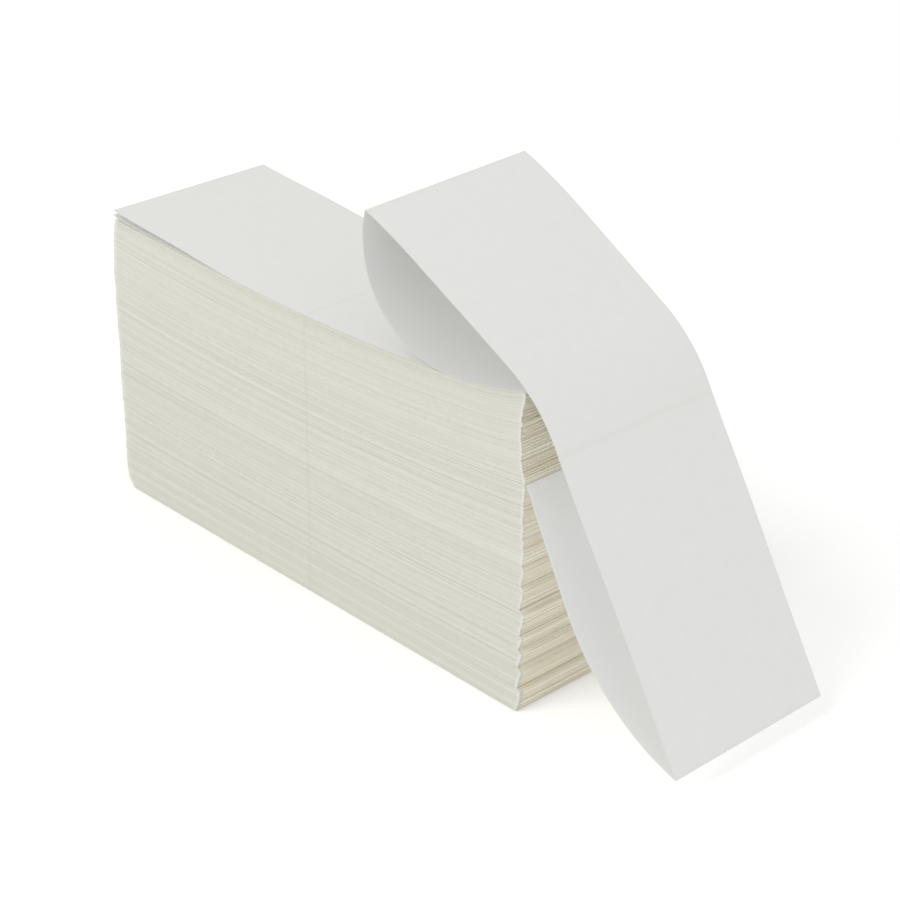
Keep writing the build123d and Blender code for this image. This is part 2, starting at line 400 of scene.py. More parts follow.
@dataclass(frozen=True)
class ReleaseLinerFinish:
    """Glassine liner: whiter where a label backs it, greener where it is bare.

    The slits are the perforation's, and the crease is a lighter line along it: partly the
    perforation's own fibre, partly a painted highlight on the fold.  The tie pitch is the
    distance from one of its uncut ties to the next.
    """

    web: Web
    backed: Colour = (0.725, 0.727, 0.706)
    bare: Colour = (0.711, 0.715, 0.684)
    crease: Colour = (0.760, 0.762, 0.740)
    slit: Colour = (0.560, 0.565, 0.520)
    tie_pitch: float = 0.0022
    relief: float = 0.00007

    def material(self) -> bpy.types.Material:
        """Build the material.

        The map gives the distance along the web and from its middle.  The share of backing is
        a step of the signed distance to a rounded rectangle that repeats at every pitch.

        Returns:
            The material.
        """
        web = self.web
        paint = Paint("glassine_liner")
        where = paint.place()
        along, across, _ = paint.split(paint.add("ShaderNodeUVMap", {"uv_map": "web"}, {}))
        from_middle = abs((along / web.pitch).fraction() - 0.5) * web.pitch
        to_perforation = web.pitch / 2 - from_middle
        over_long = from_middle - (web.label_length / 2 - web.label_corner)
        over_wide = abs(across) - (web.label_width / 2 - web.label_corner)
        outside = (over_long.larger(0.0) ** 2.0 + over_wide.larger(0.0) ** 2.0).root()
        edge = outside + over_long.larger(over_wide).smaller(0.0) - web.label_corner
        backing = edge.ramp(0.00022, -0.00022)
        rim = abs(edge).ramp(0.0007, 0.0)
        cloud = paint.noise(where, 160.0, 3.0, 0.55)
        fleck = paint.noise(where, 2600.0, 2.0, 0.6)
        colour = paint.mix(backing, self.bare, self.backed)
        colour = paint.mix(rim * 0.16, colour, self.bare)
        ties = ((across / self.tie_pitch).fraction() - 0.5).ramp(0.18, 0.24)
        # lighter line at the perforation: partly its own fibre, partly a painted highlight on the
        # fold
        line = to_perforation.ramp(0.00034, 0.00016)
        colour = paint.mix(line * 0.75, colour, self.crease)
        slits = to_perforation.ramp(0.00012, 0.00005) * (1.0 - ties)
        colour = paint.mix(slits * 0.8, colour, self.slit)
        colour = paint.shade(colour, 0.962 + 0.05 * cloud + 0.028 * fleck)
        height = backing * 0.55 + fleck * 0.12 + cloud * 0.18 + line * 0.15
        return paint.finish(
            {
                "Base Color": colour,
                "Roughness": 0.40 + 0.10 * cloud + 0.08 * fleck,
                "Normal": paint.bump(height, self.relief),
                "Specular IOR Level": 0.42,
            }
        )


@dataclass(frozen=True)
class LabelPaperFinish:
    """Smooth matte face paper with a thermal coating."""

    web: Web
    paper: Colour = (0.722, 0.727, 0.710)
    warm: Colour = (0.697, 0.700, 0.676)
    relief: float = 0.00004

    def material(self) -> bpy.types.Material:
        """Build the material: faint clouds of coating, fibres, and a darker die-cut rim.

        Returns:
            The material.
        """
        web = self.web
        paint = Paint("thermal_face_paper")
        where = paint.place()
        along, across, _ = paint.split(paint.add("ShaderNodeUVMap", {"uv_map": "web"}, {}))
        from_middle = abs((along / web.pitch).fraction() - 0.5) * web.pitch
        to_end = web.label_length / 2 - from_middle
        to_side = web.label_width / 2 - abs(across)
        rim = to_end.smaller(to_side).ramp(0.0006, 0.0)
        cloud = paint.noise(where, 90.0, 3.0, 0.5)
        fibre = paint.noise(where, 3400.0, 3.0, 0.6)
        colour = paint.mix(cloud * 0.5 + rim * 0.4, self.paper, self.warm)
        colour = paint.shade(colour, 0.975 + 0.045 * fibre)
        return paint.finish(
            {
                "Base Color": colour,
                "Roughness": 0.52 + 0.14 * fibre,
                "Normal": paint.bump(fibre * 0.3 + cloud * 0.7, self.relief),
                "Specular IOR Level": 0.36,
            }
        )


@dataclass(frozen=True)
class FloorFinish:
    """Plain pale sheet that the object stands on, with a faint glow of its own."""

    colour: Colour = (0.97, 0.97, 0.968)
    glow: float = 0.10

    def material(self) -> bpy.types.Material:
        """Build the material.

        Returns:
            The material.
        """
        paint = Paint("studio_floor")
        cloud = paint.noise(paint.place(), 3.0, 2.0)
        colour = paint.shade(self.colour, 0.995 + 0.005 * cloud)
        return paint.finish(
            {
                "Base Color": colour,
                "Roughness": 0.9,
                "Specular IOR Level": 0.1,
                "Emission Color": (1.0, 1.0, 1.0),
                "Emission Strength": self.glow,
            }
        )


@dataclass(frozen=True)
class Finishes:
    """The three finishes of the object."""

    leaves: bpy.types.Material
    liner: bpy.types.Material
    label: bpy.types.Material


# ---------------------------------------------------------------- meshes
def grid_quads(rows: int, columns: int, first: int = 0) -> np.ndarray:
    """Number the quads of a grid, whose points are first + row * columns + column.

    Args:
        rows: how many rows of points.
        columns: how many points in a row.
        first: the first point's number.

    Returns:
        (m, 4) point numbers.
    """
    row, column = np.meshgrid(np.arange(rows - 1), np.arange(columns - 1), indexing="ij")
    corner = first + row * columns + column
    return np.stack([corner, corner + columns, corner + columns + 1, corner + 1], -1).reshape(-1, 4)


def build_piece(
    name: str,
    points: np.ndarray,
    quads: np.ndarray,
    material: bpy.types.Material,
    numbers: dict[str, np.ndarray],
    web_map: np.ndarray | None = None,
    crease: float = 40.0,
) -> bpy.types.Object:
    """Put points and quads into a new object at the origin.

    Args:
        name: the piece's name.
        points: (n, 3) places in metres.
        quads: (m, 4) point numbers, anticlockwise seen from outside.
        material: the piece's finish.
        numbers: attribute name -> one number per point.
        web_map: (n, 2) distances along and across the web, for the piece's map.
        crease: angle in degrees past which an edge stays sharp.

    Returns:
        The object.
    """
    mesh = bpy.data.meshes.new(name)
    mesh.vertices.add(len(points))
    mesh.vertices.foreach_set("co", points.astype(np.float32).ravel())
    mesh.loops.add(quads.size)
    mesh.loops.foreach_set("vertex_index", quads.astype(np.int32).ravel())
    mesh.polygons.add(len(quads))
    mesh.polygons.foreach_set("loop_start", np.arange(0, quads.size, 4, dtype=np.int32))
    mesh.polygons.foreach_set("use_smooth", np.ones(len(quads), bool))
    mesh.update(calc_edges=True)
    if web_map is not None:
        layer = mesh.uv_layers.new(name="web")
        layer.data.foreach_set("uv", web_map[quads.ravel()].astype(np.float32).ravel())
    for key, values in numbers.items():
        attribute = mesh.attributes.new(key, "FLOAT", "POINT")
        attribute.data.foreach_set("value", values.astype(np.float32).ravel())
    mesh.set_sharp_from_angle(angle=math.radians(crease))
    mesh.materials.append(material)
    mesh.validate()
    piece = bpy.data.objects.new(name, mesh)
    bpy.context.scene.collection.objects.link(piece)
    return piece


def sheet_shell(lower: np.ndarray, upper: np.ndarray) -> tuple[np.ndarray, np.ndarray]:
    """Close two grids of points into one thin shell.

    The wall follows the grids' outline, and all quads are turned round where the upper grid
    would face the lower one.

    Args:
        lower: (rows, columns, 3) points of one face.
        upper: (rows, columns, 3) points of the other.

    Returns:
        The points and the quads.
    """
    rows, columns = lower.shape[:2]
    count = rows * columns
    number = np.arange(count).reshape(rows, columns)
    outline = np.concatenate(
        [number[:-1, 0], number[-1, :-1], number[:0:-1, -1], number[0, :0:-1]]
    )
    following = np.roll(outline, -1)
    wall = np.stack([outline, following, following + count, outline + count], -1)
    top = grid_quads(rows, columns, count)
    bottom = grid_quads(rows, columns)[:, ::-1]
    quads = np.concatenate([top, bottom, wall])
    step_row = upper[1:, :-1] - upper[:-1, :-1]
    step_column = upper[:-1, 1:] - upper[:-1, :-1]
    outward = (np.cross(step_row, step_column) * (upper - lower)[:-1, :-1]).sum()
    if outward < 0:
        quads = quads[:, ::-1]
    return np.concatenate([lower.reshape(-1, 3), upper.reshape(-1, 3)]), quads


def dress(piece: bpy.types.Object, body: Body, slot: Slot, *nodes: str) -> bpy.types.Object:
    """Let a piece ride on its body and stand for its nodes, and report it.

    Args:
        piece: the finished piece.
        body: the body that it rides on.
        slot: the record's material slot; not used.
        nodes: the nodes that it stands for.

    Returns:
        The piece.
    """
    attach(piece, body.value)
    if nodes:
        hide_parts(*nodes)
    report(piece, *nodes)
    return piece


def report(piece: bpy.types.Object, *nodes: str) -> None:
    """Log a piece's quads and how far its box leaves that of the nodes it stands for.

    Args:
        piece: the piece.
        nodes: the nodes that it stands for.
    """
    count = len(piece.data.polygons)
    co = np.empty(len(piece.data.vertices) * 3, np.float32)
    piece.data.vertices.foreach_get("co", co)
    co = co.reshape(-1, 3)
    off = 0.0
    for node in nodes:
        low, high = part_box(node)
        off = max(off, np.abs(co.min(0) - low).max(), np.abs(co.max(0) - high).max())
    LOG.info("%s: %d quads, %.2f mm off its node's box", piece.name, count, off * 1000)


# ---------------------------------------------------------------- how leaves lie
def circle_through(first: tuple, second: tuple, third: tuple) -> tuple:
    """Find the circle through three points.

    The centre is where the perpendicular bisectors of two chords cross.

    Args:
        first: x and z of a point; each of these numbers may be an array.
        second: x and z of the next.
        third: x and z of the last.

    Returns:
        The centre's x and z, and the radius.
    """
    ax, az = second[0] - first[0], second[1] - first[1]
    bx, bz = third[0] - first[0], third[1] - first[1]
    double_area = 2 * (ax * bz - az * bx)
    a_square = ax * ax + az * az
    b_square = bx * bx + bz * bz
    off_x = (bz * a_square - az * b_square) / double_area
    off_z = (ax * b_square - bx * a_square) / double_area
    return first[0] + off_x, first[1] + off_z, np.hypot(off_x, off_z)


@dataclass(frozen=True)
class Rest:
    """The curve that a leaf follows at a level, the flat thickness of the paper under it.

    A long arc sags from the left folds to a knee near the right end, and an end arc leaves it
    there without a kink and rises over the swollen right folds.  Below the topmost leaves the
    knee eases out, and the rise is spread over the whole right half.
    """

    half_length: float
    knee_inset: float = 0.0405
    left_swell: float = 1.050
    knee_swell: float = 1.028
    eased_knee_swell: float = 1.045
    right_swell: float = 1.081
    ease_level: float = 0.1562
    ease_depth: float = 0.032

    @property
    def knee_x(self) -> float:
        """Where the long arc meets the end arc."""
        return self.half_length - self.knee_inset

    def circles(self, level: np.ndarray) -> tuple:
        """Find the circles of the two arcs.

        The long arc goes through the left folds, the middle and the knee.  The end arc leaves
        the knee with the long arc's slope and goes through the right folds.

        Args:
            level: flat thickness under the leaf, one number or an array.

        Returns:
            The long arc's circle and the end arc's, each as centre x, centre z and radius.
        """
        level = np.maximum(np.asarray(level, float), 1e-7)
        ease = np.clip((self.ease_level - level) / self.ease_depth, 0, 1)
        knee_swell = self.knee_swell + (self.eased_knee_swell - self.knee_swell) * ease
        knee = (self.knee_x, level * knee_swell)
        end = (self.half_length, level * self.right_swell)
        left = (-self.half_length, level * self.left_swell)
        long_arc = circle_through(left, (0.0, level), knee)
        slope = (self.knee_x - long_arc[0]) / (long_arc[1] - knee[1])
        bend = end[1] - knee[1] - slope * self.knee_inset
        half_way = knee[1] + slope * self.knee_inset / 2 + bend / 4
        return long_arc, circle_through(knee, (self.knee_x + self.knee_inset / 2, half_way), end)

    def height(self, level: np.ndarray, x: np.ndarray) -> np.ndarray:
        """Return the height of the lower half of the right circle at x.

        Args:
            level: flat thickness under the leaf.
            x: place along the leaf; the two are broadcast together.

        Returns:
            The heights.
        """
        long_arc, end_arc = self.circles(level)
        heights = []
        for centre_x, centre_z, radius in (long_arc, end_arc):
            reach = np.clip(radius**2 - (x - centre_x) ** 2, 0, None)
            heights.append(centre_z - np.sqrt(reach))
        return np.where(x <= self.knee_x, heights[0], heights[1])


@dataclass(frozen=True)
class Pack:
    """A pack of pressed leaves: how many, and how far its ends stand out, in millimetres."""

    leaves: int
    right_top: float
    right_bottom: float
    left_top: float
    left_bottom: float


@dataclass
class PressedStack:
    """A bundle of packs, built leaf by leaf from the bottom up, with its lengths in metres.

    Springs, curls and sinks shape the leaves' ends, the bulge and the slide move whole leaves,
    the teeth are the packs' steps at the right end, nicks and folds are marks, the folds' colour
    partly painted light, and the leaves by the notches carry painted shade.
    """

    prefix: str
    body: Body
    packs: tuple[Pack, ...]
    start_level: float
    web: Web
    rest: Rest
    seed: int
    leaf_step: float
    paper_share: float = 0.94  # of a leaf's step, the rest is the crack to the next leaf
    tip_spring: float = 0.0
    spring_length: float = 0.100
    spring_depth: float = 0.012
    end_curl: float = 0.0
    curl_length: float = 0.050
    curl_level: float = 0.022
    end_sink: float = 0.0
    sink_length: float = 0.0012
    sink_depth: float = 0.0008
    left_bulge: float = 0.0018
    bulge_foot: float = 0.012
    bulge_top: float = 0.140
    bulge_fade: float = 0.020
    slide: float = 0.0022
    slide_level: float = 0.060
    wave_height: float = 0.00022
    tooth_depth: float = 0.6
    tooth_return: float = 0.2
    nick_length: float = 0.0011
    fold_length: float = 0.0022
    # where the painted shade by the notches reaches: its length from a leaf's end, the pack step
    # that makes it full, and the leaves it fades over
    notch_length: float = 0.012
    notch_step: float = 4.5  # a pack's step in millimetres that makes a full notch
    notch_leaves: float = 1.6

    def top_level(self) -> float:
        """Return the flat thickness up to the bundle's top."""
        return self.start_level + sum(pack.leaves for pack in self.packs) * self.leaf_step

    def stations(self) -> np.ndarray:
        """Return the shares of a leaf's length that have a section.

        They lie close together at the folds and at the perforation.

        Returns:
            The shares, from 0 at the left to 1 at the right.
        """
        left = [0.0, 0.0005, 0.0025, 0.012]
        middle = [0.4975, 0.5, 0.5025]
        right = [0.951, 0.968, 0.982, 0.9925, 0.9975, 0.9995, 1.0]
        spreads = np.linspace(0.045, 0.46, 9), np.linspace(0.54, 0.931, 11)
        return np.concatenate([left, spreads[0], middle, spreads[1], right])

    def wander(self, rng: np.random.Generator, count: int, step: int, size: float) -> np.ndarray:
        """Return numbers that hold for a run of leaves and then jump.

        Args:
            rng: the seeded source.
            count: how many leaves.
            step: mean length of a run.
            size: the largest number, of either sign.

        Returns:
            One number per leaf.
        """
        jumps = rng.random(count) < 1.0 / step
        runs = np.cumsum(jumps)
        return (rng.random(runs[-1] + 1) * 2 - 1)[runs] * size

    def teeth(self, rng: np.random.Generator, count: int, step: int, size: float) -> np.ndarray:
        """Return offsets that grow over a run of leaves and then jump back.

        Within a run the offset is the share of the run so far, less a half, times the run's
        own size.

        Args:
            rng: the seeded source.
            count: how many leaves.
            step: mean length of a run.
            size: the largest run's size.

        Returns:
            One number per leaf.
        """
        jumps = rng.random(count) < 1.0 / step
        runs = np.cumsum(jumps)
        starts = np.searchsorted(runs, np.arange(runs[-1] + 1))
        lengths = np.diff(np.append(starts, count))
        share = (np.arange(count) - starts[runs]) / lengths[runs]
        sizes = rng.uniform(0.3, 1.0, runs[-1] + 1) * np.clip(lengths / step, 0.2, 1.2)
        return (share - 0.5) * sizes[runs] * size

    def ripple(self, level: np.ndarray, x: np.ndarray) -> np.ndarray:
        """Return the small waves that pressed leaves take, none at the bundle's two faces.

        The sum of three sines along the leaf whose phases drift with the level, times a half
        sine over the bundle's height.

        Args:
            level: flat thickness under the leaf.
            x: place along the leaf.

        Returns:
            The heights to add.
        """
        low, high = self.start_level, self.top_level()
        envelope = np.sin(np.pi * np.clip((level - low) / (high - low), 0, 1))
        wave = 0.5 * np.sin(x * 41.0 + level * 60.0)
        wave = wave + 0.3 * np.sin(x * 93.0 - level * 110.0 + 1.3)
        wave = wave + 0.2 * np.sin(x * 170.0 + level * 190.0 + 0.4)
        return self.wave_height * envelope * wave

    def spring(self, level: np.ndarray, x: np.ndarray) -> np.ndarray:
        """Return how far leaves spring up from the curve that they rest on.

        The topmost leaves rise or sink at their left end, by a power of the distance from
        where that starts and less for each leaf down.  The lowest ones curl up at their right
        end by the square of the distance, or sink at the very end into the gap between labels.

        Args:
            level: flat thickness under the leaf.
            x: place along the leaf.

        Returns:
            The heights to add.
        """
        half = self.rest.half_length
        left_share = np.clip((-x - half + self.spring_length) / self.spring_length, 0, 1.04)
        from_top = np.clip(self.top_level() - level, 0, None)
        rise = self.tip_spring * left_share**1.5 * np.exp(-from_top / self.spring_depth)
        right_share = np.clip((x - half + self.curl_length) / self.curl_length, 0, 1.06)
        near_floor = np.clip(1 - level / self.curl_level, 0, 1)
        curl = self.end_curl * right_share**2 * near_floor**2
        at_end = np.clip((x - half) / self.sink_length + 1.4, 0, 1)
        from_bottom = np.clip(level - self.start_level, 0, None)
        return rise + curl - self.end_sink * at_end * np.exp(-from_bottom / self.sink_depth)

    def bulge(self, levels: np.ndarray) -> np.ndarray:
        """Return how far leaves stand out further at the left, full between foot and top."""
        swell = np.minimum(
            levels / self.bulge_foot, (self.bulge_top - levels) / self.bulge_fade
        )
        return self.left_bulge * np.clip(swell, 0, 1)

    def slip(self, level: np.ndarray, x: np.ndarray) -> np.ndarray:
        """Return how far the lowest leaves have slid to the front, more towards their right.

        Args:
            level: flat thickness under the leaf.
            x: place along the leaf.

        Returns:
            The slide times the square of the nearness to the floor, times the share of x.
        """
        right_half = np.clip((x / self.rest.half_length + 1) / 2, 0, 1)
        return self.slide * np.clip(1 - level / self.slide_level, 0, 1) ** 2 * right_half

    def build(self, finishes: Finishes) -> None:
        """Build every pack as one piece of separate closed leaves.

        Runs of leaves shift together, at the ends and to the sides, and two leaves that are
        folded to each other share the shift of that end.

        Args:
            finishes: the object's finishes.
        """
        rng = np.random.default_rng(self.seed)
        total = sum(pack.leaves for pack in self.packs)
        pair = np.arange(total + 2)
        right_shift = self.teeth(rng, total + 2, 7, 0.0006) + rng.normal(0, 0.00010, total + 2)
        left_shift = self.wander(rng, total + 2, 7, 0.00022) + rng.normal(0, 0.00006, total + 2)
        side_shift = self.wander(rng, total, 9, 0.00009) + rng.normal(0, 0.00004, total)
        skew = self.wander(rng, total, 12, 0.00007)
        tint = self.wander(rng, total, 5, 0.7) + rng.uniform(-0.3, 0.3, total)
        nick = rng.uniform(0.00004, 0.00022, total)
        right_shift = right_shift[pair // 2 * 2][:total]
        left_shift = left_shift[(pair + 1) // 2 * 2 - 1][:total]
        done = 0
        level = self.start_level
        for number, pack in enumerate(self.packs, 1):
            chosen = slice(done, done + pack.leaves)
            name = f"{self.prefix}_{number:02d}"
            piece = self.pack_piece(
                name,
                pack,
                self.packs[min(number, len(self.packs) - 1)].right_bottom,
                level,
                np.arange(done, done + pack.leaves),
                (left_shift[chosen], right_shift[chosen]),
                (side_shift[chosen], skew[chosen], nick[chosen]),
                tint[chosen],
                finishes.leaves,
            )
            dress(piece, self.body, Slot.LEAVES, name)
            done += pack.leaves
            level += pack.leaves * self.leaf_step

    def zigzag(self, pack: Pack, next_bottom: float, share: np.ndarray) -> np.ndarray:
        """Return how far the leaves of a pack stand out at the right, in millimetres.

        From the bottom the leaves step out evenly, and over the last part of the pack they
        step back to where the next one starts.  Both ends of the pack are drawn towards its
        middle, so that the teeth stay shallow.

        Args:
            pack: the pack's sizes.
            next_bottom: how far the next pack up stands out at its bottom.
            share: the leaves' places in the pack, from 0 at the bottom to 1.

        Returns:
            One offset per leaf.
        """
        middle = (pack.right_top + pack.right_bottom) / 2
        low = middle + (pack.right_bottom - middle) * self.tooth_depth
        high = middle + (pack.right_top - middle) * self.tooth_depth
        back = next_bottom * self.tooth_depth + middle * (1 - self.tooth_depth)
        return np.interp(share, [0.0, 1.0 - self.tooth_return, 1.0], [low, high, back])

    def pack_piece(
        self,
        name: str,
        pack: Pack,
        next_bottom: float,
        level: float,
        order: np.ndarray,
        end_shifts: tuple[np.ndarray, np.ndarray],
        side_shifts: tuple[np.ndarray, np.ndarray, np.ndarray],
        tint: np.ndarray,
        material: bpy.types.Material,
    ) -> bpy.types.Object:
        """Return one pack's leaves as a piece.

        A leaf is a flat band: four points, the corners of its section, at each station along
        it.  Its ends run between the pack's end offsets, and its middle has a nick in each
        side at the perforation.

        Args:
            name: the node that the piece stands for.
            pack: the pack's sizes.
            next_bottom: how far the next pack up stands out at its bottom.
            level: flat thickness under the pack.
            order: the leaves' numbers in the bundle, which say how they pair at the folds.
            end_shifts: each leaf's shift at the left and the right end.
            side_shifts: each leaf's shift and skew across, and the depth of its nick.
            tint: each leaf's tint.
            material: the finish.

        Returns:
            The piece.
        """
        web, rest = self.web, self.rest
        count = pack.leaves
        share = (np.arange(count) + 0.5) / count
        right_share = (order // 2 * 2 + 1 - order[0]) / count
        left_share = ((order + 1) // 2 * 2 - order[0]) / count
        right_out = self.zigzag(pack, next_bottom, right_share)
        left_out = pack.left_bottom + (pack.left_top - pack.left_bottom) * left_share
        low_left, high_left = sorted((pack.left_bottom, pack.left_top))
        right_x = rest.half_length + right_out * MILLIMETRE
        left_x = -rest.half_length - np.clip(left_out, low_left, high_left) * MILLIMETRE
        right_x = right_x + end_shifts[1]
        levels = level + np.arange(count) * self.leaf_step
        left_x = left_x + end_shifts[0] - self.bulge(levels)

        stations = self.stations()
        x = left_x[:, None] + (right_x - left_x)[:, None] * stations
        low_level = levels[:, None]
        high_level = low_level + self.paper_share * self.leaf_step
        low = rest.height(low_level, x) + self.ripple(low_level, x) + self.spring(low_level, x)
        high = low + rest.height(high_level, x) - rest.height(low_level, x)
        low, high = self.fold_noses(order, low, high)

        side, skew, nick = side_shifts
        near_middle = np.exp(-((x / self.nick_length) ** 2))
        shift = side[:, None] + skew[:, None] * x / rest.half_length - self.slip(low_level, x)
        front = -web.width / 2 + shift + nick[:, None] * near_middle
        back = web.width / 2 + shift - nick[:, None] * near_middle
        corner_y = np.stack([front, back, back, front], -1)
        corner_z = np.stack([low, low, high, high], -1)
        corner_x = np.repeat(x[..., None], 4, axis=-1)
        points = np.stack([corner_x, corner_y, corner_z], -1).reshape(-1, 3)

        columns = len(stations)
        base = np.arange(count)[:, None, None] * columns * 4
        column = np.arange(columns - 1)[None, :, None] * 4
        corner = np.arange(4)[None, None, :]
        following = (corner + 1) % 4
        bands = np.stack(
            [
                base + column + corner,
                base + column + following,
                base + column + 4 + following,
                base + column + 4 + corner,
            ],
            -1,
        ).reshape(-1, 4)
        first = base.reshape(-1, 1) + np.array([[3, 2, 1, 0]])
        last = base.reshape(-1, 1) + (columns - 1) * 4 + np.array([[0, 1, 2, 3]])
        quads = np.concatenate([bands, first, last])

        near_end = np.minimum(stations, 1 - stations) * 2 * rest.half_length
        fold = np.broadcast_to(np.clip(1.3 - near_end / self.fold_length, 0, 1), x.shape)
        # painted shade by the notches, fading away from the leaves' ends
        notch_shade_depth = self.notch_shade(pack, share)
        notch_shade = notch_shade_depth[:, None] * np.clip(1.1 - near_end / self.notch_length, 0, 1)
        per_point = {
            "level": np.broadcast_to(low_level, x.shape),
            "tint": np.broadcast_to(tint[:, None], x.shape),
            "fold": fold,
            "notch_shade": notch_shade,
        }
        numbers = {key: np.repeat(values.ravel(), 4) for key, values in per_point.items()}
        return build_piece(f"{name}_leaves", points, quads, material, numbers, crease=50.0)

    def fold_noses(
        self, order: np.ndarray, low: np.ndarray, high: np.ndarray
    ) -> tuple[np.ndarray, np.ndarray]:
        """Narrow each leaf's two ends towards the neighbour that it is folded to.

        The last station keeps 0.42 of the leaf's thickness and the one before it 0.80.

        Args:
            order: the leaves' numbers in the bundle.
            low: heights of the undersides at the stations.
            high: heights of the tops.

        Returns:
            Both heights with the end stations changed.
        """
        low, high = low.copy(), high.copy()
        thick = high - low
        for end, next_in, meets_above in ((-1, -2, order % 2 == 0), (0, 1, order % 2 == 1)):
            for station, keep in ((end, 0.42), (next_in, 0.80)):
                slim = thick[:, station] * keep
                low[:, station] = np.where(meets_above, high[:, station] - slim, low[:, station])
                high[:, station] = np.where(meets_above, high[:, station], low[:, station] + slim)
        return low, high

    def notch_shade(self, pack: Pack, share: np.ndarray) -> np.ndarray:
        """Return each leaf's share of painted shade by how deep in a notch it lies,
        strongest at the pack's set-back face.

        Args:
            pack: the pack's sizes.
            share: the leaves' places in the pack, from 0 at the bottom to 1.

        Returns:
            One number from 0 to 1 per leaf.
        """
        step = (pack.right_top - pack.right_bottom) / self.notch_step
        near_bottom = np.exp(-share * pack.leaves / self.notch_leaves) * max(step, 0.0)
        near_top = np.exp(-(1 - share) * pack.leaves / self.notch_leaves) * max(-step, 0.0)
        return np.clip(near_bottom + near_top, 0, 1)


# ---------------------------------------------------------------- single leaves
@dataclass
class LyingLeaf:
    """One leaf that lies in the stack: its liner and the two labels on it.

    A translucent leaf casts no shadow, which stands for the light that its paper lets by.
    """

    name: str
    body: Body
    level: float
    web: Web
    rest: Rest
    labels_up: bool = True
    lift: float = 0.0
    lift_length: float = 0.105
    tip: float = 0.0
    tip_length: float = 0.014
    arch: float = 0.0
    left_reach: float = 0.0
    right_reach: float = 0.0
    translucent: bool = False

    def surface(self, along: np.ndarray, across: np.ndarray, layer: float) -> np.ndarray:
        """Return points of the leaf.

        The height is the lying curve at the leaf's level plus a layer, plus the lift of the
        left end, which fades over its length, plus a low arch over the same length and a
        short bend at the very tip towards the leaf that it is folded to.  Each half is
        stretched by how far its end reaches past the fold line.

        Args:
            along: distance from the left fold.
            across: distance from the web's middle.
            layer: height in the leaf's own thickness.

        Returns:
            (..., 3) points.
        """
        half = along / self.web.pitch - 1
        stretch = self.right_reach * np.clip(half, 0, 1) - self.left_reach * np.clip(-half, 0, 1)
        x = along - self.rest.half_length + stretch
        share = np.clip(1 - along / self.lift_length, 0, 1)
        lifted = self.lift * share**1.5
        arch = self.arch * np.sin(np.pi * np.clip(along / self.lift_length, 0, 1)) ** 2
        bend = self.tip * np.clip(1 - along / self.tip_length, 0, 1) ** 2
        height = self.rest.height(self.level, x) + layer + lifted + arch + bend
        return np.stack(np.broadcast_arrays(x, across, height), -1)

    def build(self, finishes: Finishes) -> None:
        """Build the liner and its two labels.

        Args:
            finishes: the object's finishes.
        """
        web = self.web
        liner_low = 0.0 if self.labels_up else web.label
        label_low = web.liner - SUNK if self.labels_up else 0.0
        label_high = web.leaf if self.labels_up else web.label + SUNK
        stations = np.linspace(0, 2 * web.pitch, LEAF_SECTIONS)
        liner = sheet_piece(
            f"{self.name}_liner_sheet",
            self.surface,
            stations,
            np.full(stations.shape, web.width / 2),
            (liner_low, liner_low + web.liner),
            finishes.liner,
        )
        dress(liner, self.body, Slot.LINER, f"{self.name}_liner")
        sheets = [liner]
        for side, start in (("left", 0.0), ("right", web.pitch)):
            stations, half_widths = label_outline(web, start)
            label = sheet_piece(
                f"{self.name}_label_{side}_face",
                self.surface,
                stations,
                half_widths,
                (label_low, label_high),
                finishes.label,
            )
            dress(label, self.body, Slot.LABEL, f"{self.name}_label_{side}")
            sheets.append(label)
        for sheet in sheets:
            sheet.visible_shadow = not self.translucent


def label_outline(web: Web, start: float) -> tuple[np.ndarray, np.ndarray]:
    """Return the stations along a label and its half width at each.

    Near an end the half width is the straight part plus the height of a quarter circle.

    Args:
        web: the web's sizes.
        start: distance along the web at which the label's pitch starts.

    Returns:
        Distances along the web, and half widths.
    """
    corner = web.label_corner
    angle = np.linspace(0, np.pi / 2, CORNER_STEPS)
    rise = corner * (1 - np.cos(angle))
    middle = np.linspace(corner, web.label_length - corner, LABEL_SECTIONS)[1:-1]
    run = np.concatenate([rise, middle, web.label_length - rise[::-1]])
    to_end = np.minimum(run, web.label_length - run)
    inside = np.clip(corner - to_end, 0, corner)
    half = web.label_width / 2 - corner + np.sqrt(corner**2 - inside**2)
    return start + web.label_gap / 2 + run, half


def sheet_piece(
    name: str,
    surface: Surface,
    stations: np.ndarray,
    half_widths: np.ndarray,
    layers: tuple[float, float],
    material: bpy.types.Material,
    columns: int = 25,
) -> bpy.types.Object:
    """Return a thin closed sheet on a surface.

    Args:
        name: the piece's name.
        surface: function of distances along and across and of a layer that gives points.
        stations: distances along.
        half_widths: half the sheet's width at each station.
        layers: the layer of each face.
        material: the finish.
        columns: how many points lie across the sheet.

    Returns:
        The piece.
    """
    along = np.repeat(stations[:, None], columns, axis=1)
    across = half_widths[:, None] * np.linspace(-1, 1, columns)
    points, quads = sheet_shell(
        surface(along, across, layers[0]), surface(along, across, layers[1])
    )
    web_map = np.stack([along, across], -1).reshape(-1, 2)
    return build_piece(name, points, quads, material, {}, np.concatenate([web_map, web_map]))


